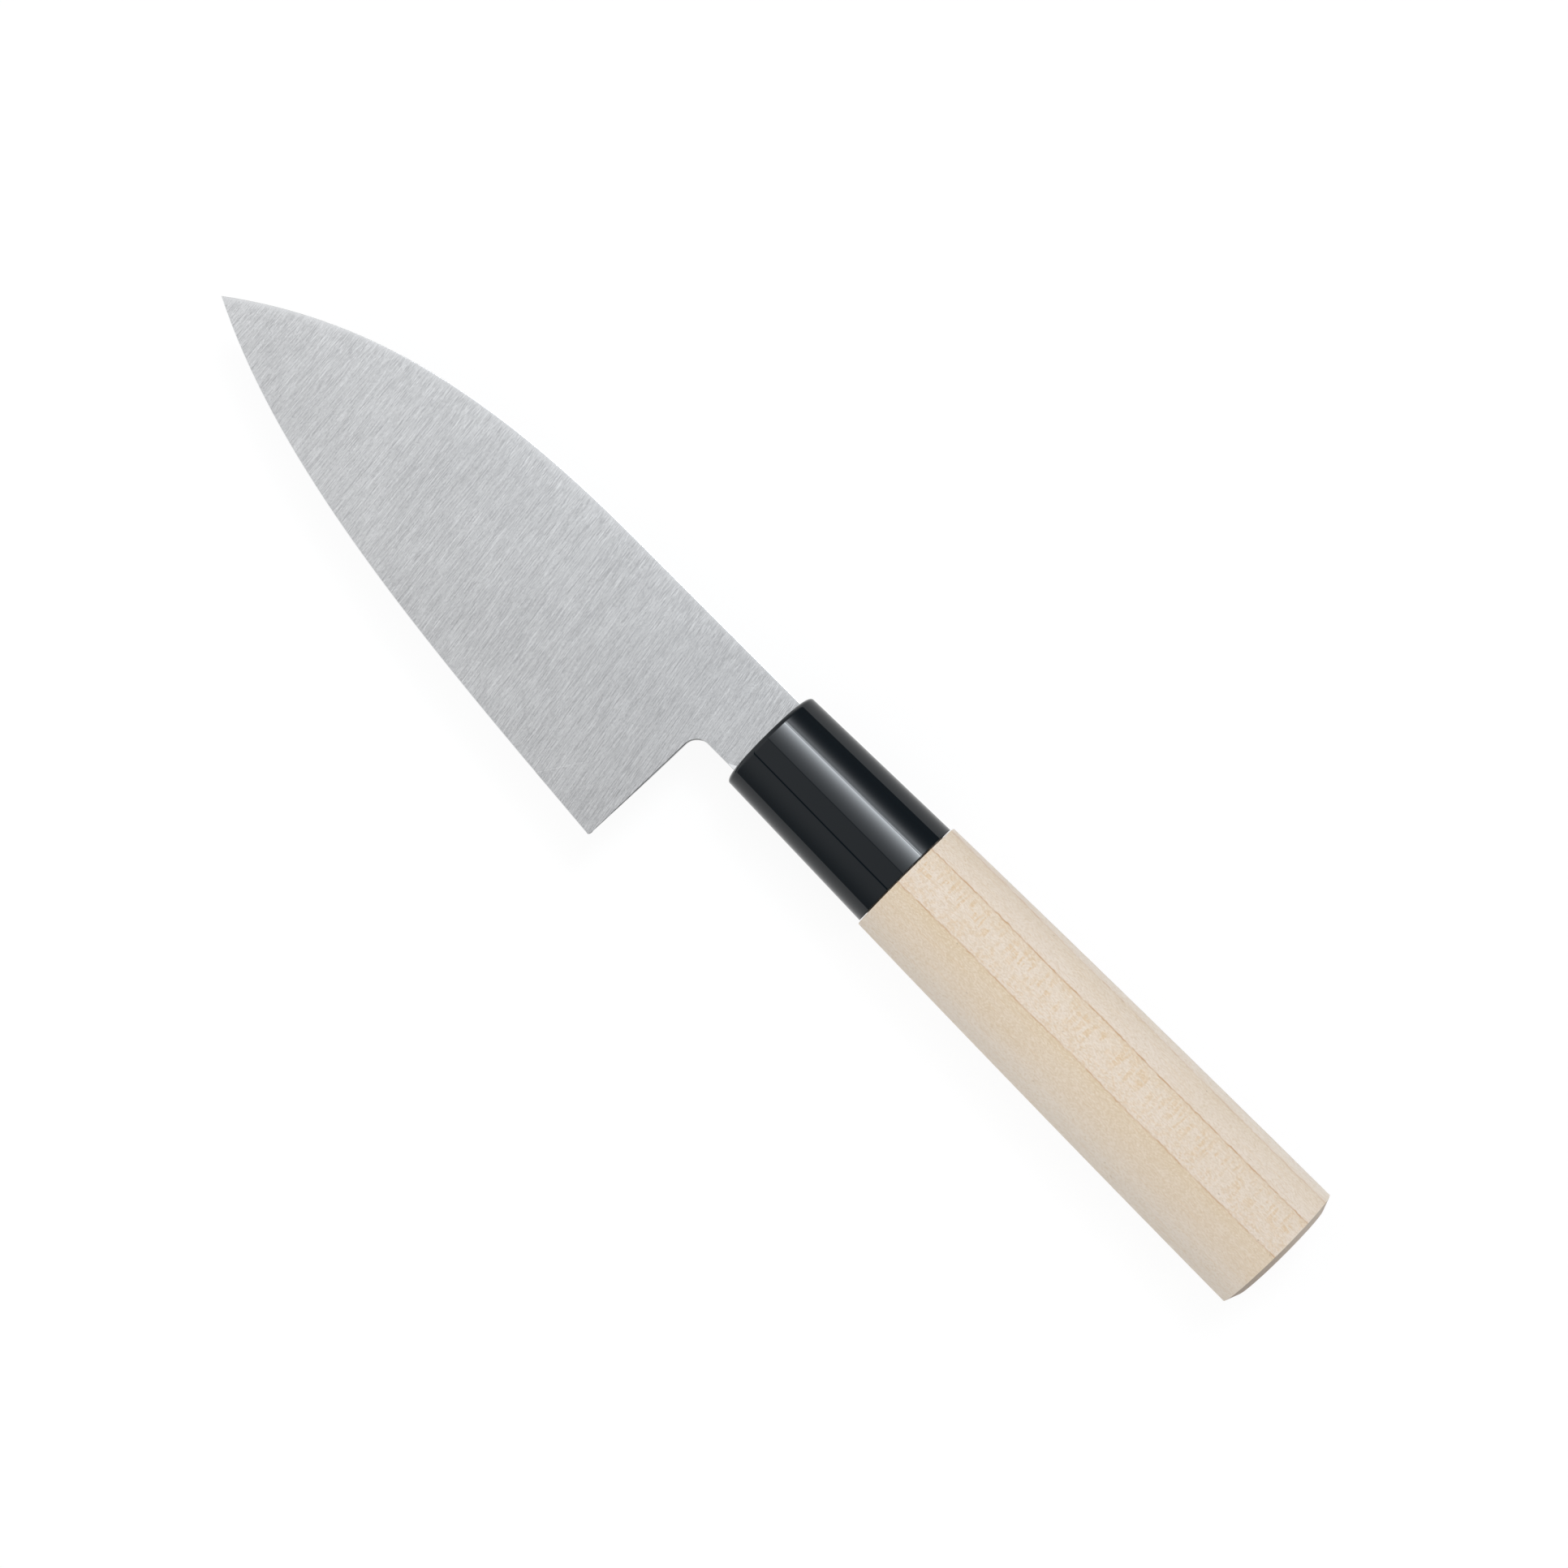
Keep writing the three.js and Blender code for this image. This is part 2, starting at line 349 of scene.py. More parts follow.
@dataclass(frozen=True)
class HairlineSteel:
    """Stainless steel brushed with fine short lines from spine to edge. Millimetres from the heel's foot."""

    light: Colour = (0.646, 0.647, 0.651)
    dark: Colour = (0.396, 0.397, 0.402)
    bare: Colour = (0.820, 0.825, 0.830)
    # scale is painted shade: the dark colour of the heel's back edge
    scale: Colour = (0.150, 0.150, 0.155)
    # The blade's outline
    length: float = 103.0
    middle: float = 15.0
    spine_height: float = 38.45
    spine_drop: float = 19.66
    spine_straight: float = 14.13
    spine_power: float = 3.31
    neck_foot: float = 23.5
    neck_length: float = 9.05
    # Brushed lines, which lean more towards the heel
    lean_at_tip: float = 0.07
    lean_per_mm: float = 0.0011
    long: Strokes = Strokes(0.28, 12.5)
    short: Strokes = Strokes(0.5, 12.5, 700.5)
    brief: Strokes = Strokes(1.0, 12.5, 1900.5)
    grain: Strokes = Strokes(4.0, 9.0, 3100.5)
    long_weight: float = 0.47
    short_weight: float = 0.35
    top_weight: float = 0.60
    grain_weight: float = 0.38
    bright: Mottle = Mottle((6.5, 0.24, 1.0), 0.0, shift=(31.0, 0.0, 0.0), span=(0.64, 0.78))
    bright_weight: float = 0.25
    scored: Mottle = Mottle((6.5, 0.30, 1.0), 0.0, shift=(-57.0, 0.0, 0.0), span=(0.66, 0.78))
    scored_weight: float = 0.3
    mean_tone: float = 0.48
    # Tone over the flat back: painted light towards the tip and at the neck, painted shade below the spine
    # and higher up, a painted highlight along the spine, and random clouds
    top_band: Span = (7.0, 2.0)
    fore_band: Span = (-12.0, -32.0)
    painted_tip_light: float = 0.09
    painted_spine_shade: float = 0.04
    neck_band: Span = (-3.0, 5.0)
    painted_neck_light: float = 0.08
    spine_highlight_fade: float = 0.6
    clouds: Mottle = Mottle((0.07, 0.07, 1.0))
    cloud_gain: float = 0.35
    painted_shade_up: float = 0.005
    # Surfaces, told apart by their normals
    flat_facing: Span = (0.94, 0.97)
    bare_edge_facing: Span = (0.25, 0.35)
    heel_facing: Span = (0.25, 0.55)
    bevel_lean: Span = (-0.07, -0.12)
    bevel_down: Span = (0.5, 0.9)
    bevel_tone: float = 0.85
    bevel_share: float = 0.6
    # Cut edges, and painted shade: a dark line on the heel's back edge
    cut_lines: Mottle = Mottle((0.25, 0.5, 7.0))
    cut_gain: float = 1.2
    cut_depth: float = 0.004
    cut_strength: float = 0.3
    heel_edge_shade_patches: Mottle = Mottle((0.8, 0.6, 1.0), shift=(0.0, 0.0, 5.0), span=(0.30, 0.55))
    patch_depth: float = 0.4
    heel_edge_shade_reach: Span = (-2.6, -0.8)
    # Bare corner of the neck at the ferrule
    corner_length: float = 1.7
    corner_slope: float = 0.53
    corner_edge: Span = (-0.06, 0.06)
    roughness: float = 0.21
    line_roughness: float = 0.05
    heel_edge_shade_roughness: float = 0.6
    bevel_polish: float = 0.06

    def make(self, heel: Vector) -> bpy.types.Material:
        """Builds the material.

        Args:
            heel: The foot of the blade's heel, in metres.

        Returns:
            The material.
        """
        material, tree = new_material("hairline_steel")
        x, y, z = place = tree.place(heel)
        back, high, up = tree.split(tree.node("ShaderNodeNewGeometry", output="True Normal"))
        flat = abs(up).step(*self.flat_facing)
        bevel = flat * high.step(*self.bevel_lean) * (up * -1.0).step(*self.bevel_down)
        cut = tree.mottle(self.cut_lines, *place) * self.cut_gain
        lines = (self._lines(tree, place) - cut) * flat + cut
        lines = lines + (self.bevel_tone - lines) * bevel * self.bevel_share
        cloud = (tree.mottle(self.clouds, *place) - 0.5) * self.cloud_gain
        # Painted shade: the tone darkens towards the spine.
        colour = tree.blend(self.dark, self.light, lines + cloud - (y - self.middle) * self.painted_shade_up)
        # Bare steel on the softened edges, made bright for the polish and as a painted highlight along the
        # spine.
        bare_edge_and_highlight = (1.0 - flat) * abs(up).step(*self.bare_edge_facing)
        # scaled marks the painted shade on the heel's back edge, in patches near the flat back
        patches = tree.mottle(self.heel_edge_shade_patches, y, z) * self.patch_depth + (1.0 - self.patch_depth)
        scaled = back.step(*self.heel_facing) * patches * z.step(*self.heel_edge_shade_reach)
        colour = tree.blend(tree.blend(colour, self.bare, bare_edge_and_highlight), self.scale, scaled)
        colour = tree.blend(colour, self.bare, self._corner(x, y))
        roughness = (lines - 0.5) * self.line_roughness + scaled * self.heel_edge_shade_roughness
        tree.surface(
            {
                "Base Color": colour,
                "Metallic": 1.0 - scaled,
                "Roughness": roughness - bevel * self.bevel_polish + self.roughness,
                "Normal": tree.bump(cut, self.cut_depth * MM, self.cut_strength),
            }
        )
        return material

    def _corner(self, x: Value, y: Value) -> Value:
        """One in the small corner of the neck at the ferrule where the brushing ends, zero elsewhere."""
        slant = (x - self.neck_length + self.corner_length) * self.corner_slope
        return (slant - (y - self.neck_foot)).step(*self.corner_edge) * (x > self.neck_length / 2)

    def _below_spine(self, x: Value, y: Value) -> Value:
        """How far a place lies below the spine, straight from the neck and then curved to the tip."""
        curve = ((x + self.spine_straight) * (-1.0 / (self.length - self.spine_straight))).at_least(0.0)
        return self.spine_height - curve.math("POWER", self.spine_power) * self.spine_drop - y

    def _lines(self, tree: ShaderTree, place: Place) -> Value:
        """The brushed lines, shorter and more mottled just below the spine, with a pale rim along it that is
        a painted highlight.

        Args:
            tree: The material's tree.
            place: Place on the blade.

        Returns:
            The lines' tone, about zero to one.
        """
        x, y, z = place
        lean = (x + self.length) * self.lean_per_mm + self.lean_at_tip
        across = x + (y - self.middle) * lean
        long, short, brief, grain = (
            tree.hairs(strokes, y, across) for strokes in (self.long, self.short, self.brief, self.grain)
        )
        below = self._below_spine(x, y)
        top = below.step(*self.top_band)
        fine = (long * self.long_weight + short * self.short_weight) * (1.0 - top)
        fine = fine + (short + brief) * top * self.top_weight + grain * self.grain_weight
        bright = tree.mottle(self.bright, across, y, z) * self.bright_weight
        scored = tree.mottle(self.scored, across, y, z) * self.scored_weight
        # lift is painted light and shade: darker below the spine, lighter there towards the tip, and lighter
        # at the neck.
        lift = top * (x.step(*self.fore_band) * self.painted_tip_light - self.painted_spine_shade)
        lift = lift + x.step(*self.neck_band) * self.painted_neck_light
        tone = fine + bright - scored + lift + self.mean_tone
        # Painted highlight: the tone rises to the light colour in a thin rim along the spine.
        rim = (below.at_least(0.0) * (-1.0 / self.spine_highlight_fade)).exp()
        return (tone - 1.0) * (1.0 - rim) + 1.0


@dataclass(frozen=True)
class GlossMoulding:
    """Glossy black plastic as it comes out of a mould, very slightly wavy."""

    colour: Colour = (0.0004, 0.0031, 0.0056)
    bloom: Colour = (0.0010, 0.0039, 0.0066)
    refraction: float = 1.42
    swell: Mottle = Mottle((0.10, 0.16, 0.16), 1.0)
    swell_depth: float = 0.03
    swell_strength: float = 0.4
    specks: Mottle = Mottle((2.3, 2.3, 2.3), 0.0, span=(0.80, 0.84))
    speck_share: float = 0.5
    roughness: float = 0.012
    swell_roughness: float = 0.012
    speck_roughness: float = 0.1

    def make(self, front: Vector) -> bpy.types.Material:
        """Builds the material.

        Args:
            front: The middle of the ferrule's front, in metres.

        Returns:
            The material.
        """
        material, tree = new_material("gloss_moulding")
        place = tree.place(front)
        swell = tree.mottle(self.swell, *place)
        speck = tree.mottle(self.specks, *place)
        colour = tree.blend(self.colour, self.bloom, swell + speck * self.speck_share)
        tree.surface(
            {
                "Base Color": colour,
                "Roughness": swell * self.swell_roughness + speck * self.speck_roughness + self.roughness,
                "IOR": self.refraction,
                "Normal": tree.bump(swell, self.swell_depth * MM, self.swell_strength),
            }
        )
        return material


@dataclass(frozen=True)
class MagnoliaWood:
    """Pale magnolia wood with thin growth lines, ray flecks and greyer end grain.

    Millimetres, along the axis from the grip's front and across from the axis.
    """

    light: Colour = (0.774, 0.677, 0.592)
    tan: Colour = (0.688, 0.545, 0.364)
    # painted light: the paler grey of the upper and lower sides
    painted_side_light: Colour = (0.850, 0.795, 0.700)
    pale_fibre: Colour = (0.845, 0.745, 0.640)
    dark_fibre: Colour = (0.640, 0.490, 0.325)
    fleck: Colour = (0.700, 0.505, 0.300)
    line: Colour = (0.560, 0.345, 0.190)
    speck: Colour = (0.36, 0.25, 0.16)
    end: Colour = (0.500, 0.420, 0.350)
    # end_dark: the end grain's pores, and its painted shade towards the bottom
    end_dark: Colour = (0.345, 0.275, 0.220)
    # Growth rings and the lines between them
    ring_lines: tuple[float, ...] = (9.95, 5.2, -2.4)
    ring_weights: tuple[float, ...] = (0.8, 0.70, 1.0)
    line_weights: tuple[float, ...] = (0.5, 1.25, 0.95)
    line_width: float = 0.12
    line_breaks: Mottle = Mottle((0.4, 0.4, 1.0), 2.0, 0.6, (0.0, 0.0, 20.0), (0.30, 0.70))
    break_depth: float = 0.75
    ring_bow: float = 0.012
    ring_depth: float = 4.0
    sway: Mottle = Mottle((0.045, 0.05, 1.0), 1.0, shift=(0.0, 0.0, 4.0))
    sway_reach: float = 0.7
    jitter: Mottle = Mottle((0.8, 0.8, 1.0), 3.0, 0.7, (0.0, 0.0, 9.0))
    jitter_reach: float = 0.55
    # Body between the lines, with a core that is counted from the lowest line, and painted light, paler and
    # greyer, on the upper and lower sides
    early_share: float = 0.55
    core_top: Span = (0.1, -0.3)
    core_foot: Span = (-9.0, -4.0)
    core_share: float = 0.3
    clouds: Mottle = Mottle((0.06, 0.3, 0.3))
    cloud_share: float = 0.5
    side_light_below: Span = (-6.0, -13.0)
    side_light_below_share: float = 0.62
    side_light_above: Span = (10.2, 10.7)
    side_light_above_share: float = 0.38
    # Fibres, veins and specks
    strand: Mottle = Mottle((1.0, 4.5, 4.5), 3.0, 0.7)
    strand_weight: float = 0.75
    fibres: Strokes = Strokes(3.2, 9.0)
    fibre_weight: float = 0.95
    veins: Mottle = Mottle((0.14, 5.0, 5.0), 2.0, 0.6, (0.0, 0.0, 13.0), (0.56, 0.70))
    vein_share: float = 0.32
    specks: Mottle = Mottle((1.7, 3.0, 3.0), 0.0, shift=(0.0, 0.0, 40.0), span=(0.875, 0.895))
    speck_share: float = 0.7
    # Ray flecks
    spots: Mottle = Mottle((1.6, 2.1, 1.0), 1.0, span=(0.44, 0.62))
    spot_weight: float = 0.7
    dashes: Mottle = Mottle((1.5, 0.26, 0.26), 1.0, span=(0.46, 0.56))
    dash_breaks: Mottle = Mottle((0.5, 2.2, 2.2), 1.0, shift=(0.0, 0.0, 5.0), span=(0.36, 0.52))
    dash_weight: float = 1.25
    dash_middle: float = 3.3
    dash_reach: float = 2.1
    fleck_patches: Mottle = Mottle((0.3, 0.4, 1.0), 1.0, shift=(0.0, 0.0, 60.0), span=(0.25, 0.55))
    fleck_top: Span = (6.6, 5.6)
    fleck_foot: Span = (-1.9, -0.9)
    fleck_share: float = 0.66
    # End grain, darker towards the bottom by painted shade, and painted shade on the sides near the butt
    pores: Mottle = Mottle((0.5, 4.0, 4.0), 2.0, 0.7)
    pore_contrast: float = 1.2
    end_facing: Span = (0.35, 0.75)
    end_shade_band: Span = (7.0, -9.0)
    end_shade_share: float = 0.8
    butt_shade_start: float = 0.4
    butt_shade_band: Span = (10.0, 5.0)
    butt_shade_share: float = 0.13
    # Surface
    roughness: float = 0.62
    fibre_roughness: float = 0.2
    gloss: float = 0.3
    strand_relief: float = 0.7
    relief_depth: float = 0.02
    relief_strength: float = 0.35

    def make(self, axis: Vector, length: float) -> bpy.types.Material:
        """Builds the material.

        Args:
            axis: Where the grip's axis meets its front, in metres.
            length: The grip's length, in millimetres.

        Returns:
            The material.
        """
        material, tree = new_material("magnolia_wood")
        x, y, z = place = tree.place(axis)
        sway = (tree.mottle(self.sway, x, z) - 0.5) * self.sway_reach
        jitter = (tree.mottle(self.jitter, x, z) - 0.5) * self.jitter_reach
        ring = y - z * z * self.ring_bow + sway + jitter
        strand = tree.mottle(self.strand, *place)
        fibre = tree.hairs(self.fibres, *place) * self.fibre_weight + (strand - 0.5) * self.strand_weight
        pores = tree.mottle(self.pores, *place)
        colour = self._flecks(tree, self._body(tree, ring, place), place)
        colour = tree.blend(colour, self.dark_fibre, fibre)
        colour = tree.blend(colour, self.pale_fibre, fibre * -1.0)
        colour = tree.blend(colour, self.fleck, tree.mottle(self.veins, *place) * self.vein_share)
        colour = tree.blend(colour, self.line, self._lines(tree, ring, place))
        colour = tree.blend(colour, self.speck, tree.mottle(self.specks, *place) * self.speck_share)
        # Painted shade: the sides darken towards the butt, apart from near the top.
        painted_butt_shade = x.step(length * self.butt_shade_start, length) * y.step(*self.butt_shade_band) * self.butt_shade_share
        colour = tree.blend(colour, self.end, painted_butt_shade)
        # End grain: pores, and painted shade that darkens it towards the bottom.
        shade = (pores - 0.5) * self.pore_contrast + ring.step(*self.end_shade_band) * self.end_shade_share
        colour = tree.blend(colour, tree.blend(self.end, self.end_dark, shade), self._end_cut(tree))
        relief = strand * self.strand_relief + pores * (1.0 - self.strand_relief)
        tree.surface(
            {
                "Base Color": colour,
                "Roughness": fibre * self.fibre_roughness + self.roughness,
                "Specular IOR Level": self.gloss,
                "Normal": tree.bump(relief, self.relief_depth * MM, self.relief_strength),
            }
        )
        return material

    def _lines(self, tree: ShaderTree, ring: Value, place: Place) -> Value:
        """The thin brown growth lines, stronger in some places than in others.

        Args:
            tree: The material's tree.
            ring: Place across the growth rings.
            place: Place on the grip.

        Returns:
            The lines' strength, from zero to about one.
        """
        x, _, z = place
        total: Value | float = 0.0
        for number, (centre, weight) in enumerate(zip(self.ring_lines, self.line_weights)):
            strength = tree.mottle(self.line_breaks, x, z, number) * self.break_depth
            strength = strength + (1.0 - self.break_depth)
            total = ring.bell(centre, self.line_width) * strength * weight + total
        return total

    def _body(self, tree: ShaderTree, ring: Value, place: Place) -> Value:
        """The colour between the growth lines: tan below each line, paling towards the next, with painted
        light on the upper and lower sides.

        Args:
            tree: The material's tree.
            ring: Place across the growth rings.
            place: Place on the grip.

        Returns:
            The colour.
        """
        early: Value | float = 0.0
        for line, weight in zip(self.ring_lines, self.ring_weights):
            below = (line - ring) * (1.0 / self.ring_depth)
            early = (below * -1.0).exp() * (below > 0.0) * weight + early
        inner = ring - self.ring_lines[-1]
        core = inner.step(*self.core_top) * inner.step(*self.core_foot)
        cloud = tree.mottle(self.clouds, *place) - 0.5
        share = early * self.early_share + core * self.core_share + cloud * self.cloud_share
        painted_side_light = ring.step(*self.side_light_below) * self.side_light_below_share
        painted_side_light = painted_side_light + ring.step(*self.side_light_above) * self.side_light_above_share
        return tree.blend(tree.blend(self.light, self.tan, share), self.painted_side_light, painted_side_light)

    def _flecks(self, tree: ShaderTree, colour: Value, place: Place) -> Value:
        """Ray flecks where the surface lies along the rays: spots, and upright dashes in the middle.

        Args:
            tree: The material's tree.
            colour: The colour below the flecks.
            place: Place on the grip.

        Returns:
            The colour with the flecks.
        """
        x, y, _ = place
        spots = tree.mottle(self.spots, *place) * self.spot_weight
        dashes = tree.mottle(self.dashes, *place) * tree.mottle(self.dash_breaks, *place) * self.dash_weight
        middle = y.bell(self.dash_middle, self.dash_reach)
        zone = y.step(*self.fleck_top) * y.step(*self.fleck_foot) * tree.mottle(self.fleck_patches, x, y)
        share = (spots * (1.0 - middle) + dashes * middle) * zone
        return tree.blend(colour, self.fleck, share * self.fleck_share)

    def _end_cut(self, tree: ShaderTree) -> Value:
        """One on end grain, zero on the sides."""
        along, _, _ = tree.split(tree.node("ShaderNodeNewGeometry", output="True Normal"))
        return along.step(*self.end_facing)


@dataclass(frozen=True)
class SetResin:
    """Cream casting resin with trapped bubbles."""

    colour: Colour = (0.48, 0.38, 0.21)
    pale: Colour = (0.60, 0.51, 0.33)
    clouds: Mottle = Mottle((0.4, 0.4, 0.4), 3.0)
    bubbles: Mottle = Mottle((2.5, 2.5, 2.5), 0.0, span=(0.62, 0.70))
    bubble_depth: float = 0.1
    bubble_strength: float = 0.5
    roughness: float = 0.35
    cloud_roughness: float = 0.2

    def make(self, mouth: Vector) -> bpy.types.Material:
        """Builds the material.

        Args:
            mouth: The middle of the ferrule's front, in metres.

        Returns:
            The material.
        """
        material, tree = new_material("set_resin")
        place = tree.place(mouth)
        cloud = tree.mottle(self.clouds, *place)
        skin = 1.0 - tree.mottle(self.bubbles, *place)
        tree.surface(
            {
                "Base Color": tree.blend(self.colour, self.pale, cloud),
                "Roughness": cloud * self.cloud_roughness + self.roughness,
                "Normal": tree.bump(skin, self.bubble_depth * MM, self.bubble_strength),
            }
        )
        return material


@dataclass(frozen=True)
class Ring:
    """One oval of a loft: its place along the axis and its two half sizes, in millimetres."""

    x: float
    half_height: float
    half_thickness: float


@dataclass(frozen=True)
class Oval:
    """The oval that ferrule and grip share."""

    ratio: float = 0.79
    segments: int = 144

    def ring(self, x: float, height: float, inset: float = 0.0) -> Ring:
        """One ring, at a place along the axis, inset from the oval of a height."""
        return Ring(x, height / 2 - inset, self.ratio * height / 2 - inset)


class Bench:
    """Modelling by Blender's operators."""

    @staticmethod
    def clear() -> None:
        """Leaves edit mode with nothing selected."""
        if bpy.context.object and bpy.context.object.mode != "OBJECT":
            bpy.ops.object.mode_set(mode="OBJECT")
        bpy.ops.object.select_all(action="DESELECT")

    @classmethod
    def take(cls, piece: bpy.types.Object) -> None:
        """Selects one object alone.

        Args:
            piece: The object.
        """
        cls.clear()
        piece.select_set(True)
        bpy.context.view_layer.objects.active = piece

    @classmethod
    def loft(cls, name: str, rings: Sequence[Ring], origin: Vector, segments: int) -> bpy.types.Object:
        """Extrudes an oval from ring to ring along X.

        Args:
            name: The piece's name.
            rings: The rings, in order.
            origin: Where the axis has x = 0, in metres.
            segments: Number of points on a ring.

        Returns:
            The closed piece.
        """
        cls.clear()
        first = rings[0]
        start = origin + Vector((first.x * MM, 0.0, 0.0))
        bpy.ops.mesh.primitive_circle_add(
            vertices=segments, radius=MM, fill_type="NGON", location=start, rotation=(0.0, math.pi / 2, 0.0)
        )
        piece = bpy.context.object
        piece.name = name
        bpy.ops.object.transform_apply(location=True, rotation=True, scale=True)
        bpy.ops.object.mode_set(mode="EDIT")
        bpy.ops.mesh.select_all(action="SELECT")
        bpy.ops.transform.resize(value=(1.0, first.half_height, first.half_thickness), center_override=start)
        for last, ring in zip(rings, rings[1:]):
            step = Vector(((ring.x - last.x) * MM, 0.0, 0.0))
            centre = origin + Vector((ring.x * MM, 0.0, 0.0))
            grow = (1.0, ring.half_height / last.half_height, ring.half_thickness / last.half_thickness)
            bpy.ops.mesh.extrude_region_move(TRANSFORM_OT_translate={"value": step})
            bpy.ops.transform.resize(value=grow, center_override=centre)
        cls.close()
        return piece

    @staticmethod
    def close() -> None:
        """Merges doubles, turns faces outwards and leaves edit mode."""
        bpy.ops.mesh.select_all(action="SELECT")
        bpy.ops.mesh.remove_doubles(threshold=MERGE_DISTANCE)
        bpy.ops.mesh.normals_make_consistent(inside=False)
        bpy.ops.object.mode_set(mode="OBJECT")

    @classmethod
    def block(cls, name: str, low: Vector, high: Vector) -> bpy.types.Object:
        """A box between two corners.

        Args:
            name: The box's name.
            low: Its lowest corner, in metres.
            high: Its highest corner, in metres.

        Returns:
            The box.
        """
        cls.clear()
        bpy.ops.mesh.primitive_cube_add(size=1.0, location=(low + high) / 2)
        box = bpy.context.object
        box.name = name
        box.scale = high - low
        bpy.ops.object.transform_apply(location=True, rotation=True, scale=True)
        return box

    @classmethod
    def cut(cls, piece: bpy.types.Object, cutter: bpy.types.Object) -> None:
        """Cuts one solid out of another and removes the cutter.

        Args:
            piece: The solid that is cut.
            cutter: The solid that is taken away.
        """
        cls.take(piece)
        modifier = piece.modifiers.new("cut", "BOOLEAN")
        modifier.operation = "DIFFERENCE"
        modifier.solver = "EXACT"
        modifier.object = cutter
        bpy.ops.object.modifier_apply(modifier=modifier.name)
        bpy.data.objects.remove(cutter, do_unlink=True)

    @classmethod
    def smooth(cls, piece: bpy.types.Object, degrees: float) -> None:
        """Shades smoothly, apart from edges sharper than an angle."""
        cls.take(piece)
        bpy.ops.object.shade_smooth_by_angle(angle=math.radians(degrees))

    @staticmethod
    def dress(piece: bpy.types.Object, part: Part, material: bpy.types.Material) -> None:
        """Gives a finished piece its material and its place in the frame.

        Args:
            piece: The finished piece.
            part: The frame's node that it stands for.
            material: Its material.
        """
        piece.data.materials.clear()
        piece.data.materials.append(material)
        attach(piece, "root")
        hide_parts(part.value)
        LOG.info("%s: %d faces", piece.name, len(piece.data.polygons))


@dataclass
class Blade:
    """Blade, neck and tang, with the sharp edges softened as polishing leaves them. Millimetres."""

    merge: float = 0.002
    flat_normal: float = 0.9998
    flat_angle: float = 0.06
    sharp_angle: float = 20.0
    softening: float = 0.11
    softening_steps: int = 2
    smooth_angle: float = 8.0
    finish: HairlineSteel = HairlineSteel()

    def build(self, front: float) -> bpy.types.Object:
        """Models and dresses the blade.

        Args:
            front: Where the ferrule's front is along the axis, in metres.

        Returns:
            The blade.
        """
        piece = bpy.data.objects.new("blade_ground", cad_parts[Part.BLADE.value].data.copy())
        bpy.context.scene.collection.objects.link(piece)
        Bench.take(piece)
        bpy.ops.object.mode_set(mode="EDIT")
        bpy.ops.mesh.select_mode(type="FACE")
        bpy.ops.mesh.select_all(action="SELECT")
        bpy.ops.mesh.remove_doubles(threshold=self.merge * MM)
        ground = front - self.finish.neck_length / 2 * MM
        for side in (1.0, -1.0):
            self._merge_flat(piece, side, -math.inf, ground)
            self._merge_flat(piece, side, ground, math.inf)
        bpy.ops.mesh.select_all(action="SELECT")
        bpy.ops.mesh.dissolve_limited(angle_limit=math.radians(self.flat_angle))
        bpy.ops.mesh.select_mode(type="EDGE")
        bpy.ops.mesh.select_all(action="DESELECT")
        bpy.ops.mesh.edges_select_sharp(sharpness=math.radians(self.sharp_angle))
        bpy.ops.mesh.bevel(
            offset=self.softening * MM, segments=self.softening_steps, affect="EDGES", clamp_overlap=False
        )
        Bench.close()
        Bench.smooth(piece, self.smooth_angle)
        low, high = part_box(Part.BLADE.value)
        heel = Vector((front - self.finish.neck_length * MM, low.y, high.z))
        Bench.dress(piece, Part.BLADE, self.finish.make(heel))
        return piece

    def _merge_flat(self, piece: bpy.types.Object, side: float, low: float, high: float) -> None:
        """Merges the facets of one flat into one face, and stays in edit mode.

        Args:
            piece: The blade.
            side: The side that the flat faces, as the sign of Z.
            low: The flat's end towards the tip, in metres.
            high: Its end towards the tang, in metres.
        """
        bpy.ops.mesh.select_all(action="DESELECT")
        bpy.ops.object.mode_set(mode="OBJECT")
        for face in piece.data.polygons:
            face.select = face.normal.z * side > self.flat_normal and low < face.center.x < high
        bpy.ops.object.mode_set(mode="EDIT")
        bpy.ops.mesh.dissolve_faces()


